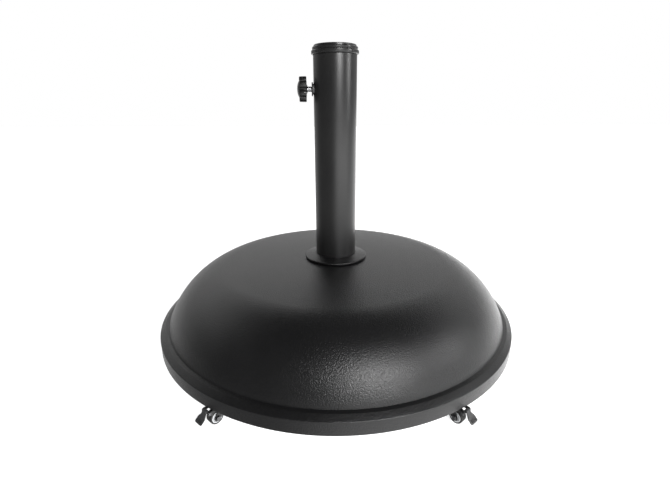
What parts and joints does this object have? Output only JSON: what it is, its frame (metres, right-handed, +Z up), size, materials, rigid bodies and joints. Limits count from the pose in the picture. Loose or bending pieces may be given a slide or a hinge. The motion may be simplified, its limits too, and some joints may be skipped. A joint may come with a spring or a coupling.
{
  "type": "parasol base",
  "caption": "Round domed concrete-filled parasol base with a pole tube, a clamp knob and swivel casters with brakes.",
  "frame": {"origin": "on the floor, under the axis of the pole tube", "axes": "+Z up along the pole tube; -Y towards the front, where the clamp knob is on the left"},
  "size_m": [0.54, 0.54, 0.437],
  "materials": {
    "powder_coat": "satin",
    "concrete": "matte",
    "galvanised": "satin",
    "raw_steel": "matte",
    "seat_plastic": "matte",
    "seal_rubber": "matte",
    "collar_plastic": "satin",
    "bush_paint": "satin",
    "zinc": "satin",
    "pad_brass": "satin",
    "knob_plastic": "gloss",
    "bright_steel": "polished",
    "caster_black": "satin",
    "core_plastic": "satin",
    "tyre_rubber": "matte",
    "pedal_plastic": "matte"
  },
  "bodies": {
    "base": {"shell": "powder_coat", "concrete_fill": "concrete", "bottom_pan": "galvanised", "pole_tube": "powder_coat", "anchor_plate": "raw_steel", "anchor_bars": "raw_steel", "pole_seat": "seat_plastic", "foot_flange": "powder_coat", "flange_seal": "seal_rubber", "top_collar": "collar_plastic", "clamp_bush": "bush_paint", "bush_disc": "powder_coat", "caster_inserts": "zinc", "caster_screws": "zinc", "front_left_caster_plate": "caster_black", "front_left_swivel_race": "zinc", "front_left_kingpin": "zinc", "front_right_caster_plate": "caster_black", "front_right_swivel_race": "zinc", "front_right_kingpin": "zinc", "back_left_caster_plate": "caster_black", "back_left_swivel_race": "zinc", "back_left_kingpin": "zinc", "back_right_caster_plate": "caster_black", "back_right_swivel_race": "zinc", "back_right_kingpin": "zinc"},
    "clamp_slider": {"clamp_pad": "pad_brass"},
    "clamp_knob": {"knob": "knob_plastic", "knob_stud": "bright_steel"},
    "front_left_swivel": {"front_left_fork": "caster_black", "front_left_axle": "bright_steel", "front_left_brake_pin": "bright_steel"},
    "front_left_wheel": {"front_left_wheel_core": "core_plastic", "front_left_tyre": "tyre_rubber"},
    "front_left_brake": {"front_left_brake_pedal": "pedal_plastic"},
    "front_right_swivel": {"front_right_fork": "caster_black", "front_right_axle": "bright_steel", "front_right_brake_pin": "bright_steel"},
    "front_right_wheel": {"front_right_wheel_core": "core_plastic", "front_right_tyre": "tyre_rubber"},
    "front_right_brake": {"front_right_brake_pedal": "pedal_plastic"},
    "back_left_swivel": {"back_left_fork": "caster_black", "back_left_axle": "bright_steel", "back_left_brake_pin": "bright_steel"},
    "back_left_wheel": {"back_left_wheel_core": "core_plastic", "back_left_tyre": "tyre_rubber"},
    "back_left_brake": {"back_left_brake_pedal": "pedal_plastic"},
    "back_right_swivel": {"back_right_fork": "caster_black", "back_right_axle": "bright_steel", "back_right_brake_pin": "bright_steel"},
    "back_right_wheel": {"back_right_wheel_core": "core_plastic", "back_right_tyre": "tyre_rubber"},
    "back_right_brake": {"back_right_brake_pedal": "pedal_plastic"}
  },
  "joints": [
    {"name": "clamp_feed", "type": "slide", "parent": "base", "child": "clamp_slider", "axis": [0.9962, 0.0872, 0], "range_m": [0, 0.0056]},
    {"name": "knob_turn", "type": "hinge", "parent": "clamp_slider", "child": "clamp_knob", "pos_m": [0, 0, 0.38], "axis": [0.9962, 0.0872, 0], "range_deg": [0, 1610]},
    {"name": "front_left_swivel", "type": "hinge", "parent": "base", "child": "front_left_swivel", "pos_m": [-0.13744, -0.21003, 0.022], "axis": [0, 0, 1], "continuous": true},
    {"name": "front_left_roll", "type": "hinge", "parent": "front_left_swivel", "child": "front_left_wheel", "pos_m": [-0.1438, -0.21709, 0.0088], "axis": [0.7431, -0.6691, 0], "continuous": true},
    {"name": "front_left_brake", "type": "hinge", "parent": "front_left_swivel", "child": "front_left_brake", "pos_m": [-0.15042, -0.22445, 0.0204], "axis": [-0.7431, 0.6691, 0], "range_deg": [0, 30]},
    {"name": "front_right_swivel", "type": "hinge", "parent": "base", "child": "front_right_swivel", "pos_m": [0.13744, -0.21003, 0.022], "axis": [0, 0, 1], "continuous": true},
    {"name": "front_right_roll", "type": "hinge", "parent": "front_right_swivel", "child": "front_right_wheel", "pos_m": [0.1438, -0.21709, 0.0088], "axis": [0.7431, 0.6691, 0], "continuous": true},
    {"name": "front_right_brake", "type": "hinge", "parent": "front_right_swivel", "child": "front_right_brake", "pos_m": [0.15042, -0.22445, 0.0204], "axis": [-0.7431, -0.6691, 0], "range_deg": [0, 30]},
    {"name": "back_left_swivel", "type": "hinge", "parent": "base", "child": "back_left_swivel", "pos_m": [-0.13744, 0.21003, 0.022], "axis": [0, 0, 1], "continuous": true},
    {"name": "back_left_roll", "type": "hinge", "parent": "back_left_swivel", "child": "back_left_wheel", "pos_m": [-0.1438, 0.21709, 0.0088], "axis": [-0.7431, -0.6691, 0], "continuous": true},
    {"name": "back_left_brake", "type": "hinge", "parent": "back_left_swivel", "child": "back_left_brake", "pos_m": [-0.15042, 0.22445, 0.0204], "axis": [0.7431, 0.6691, 0], "range_deg": [0, 30]},
    {"name": "back_right_swivel", "type": "hinge", "parent": "base", "child": "back_right_swivel", "pos_m": [0.13744, 0.21003, 0.022], "axis": [0, 0, 1], "continuous": true},
    {"name": "back_right_roll", "type": "hinge", "parent": "back_right_swivel", "child": "back_right_wheel", "pos_m": [0.1438, 0.21709, 0.0088], "axis": [-0.7431, 0.6691, 0], "continuous": true},
    {"name": "back_right_brake", "type": "hinge", "parent": "back_right_swivel", "child": "back_right_brake", "pos_m": [0.15042, 0.22445, 0.0204], "axis": [0.7431, -0.6691, 0], "range_deg": [0, 30]}
  ],
  "couplings": [
    {"joint": "clamp_feed", "follows": "knob_turn", "m_per_rad": 0.00019894}
  ]
}
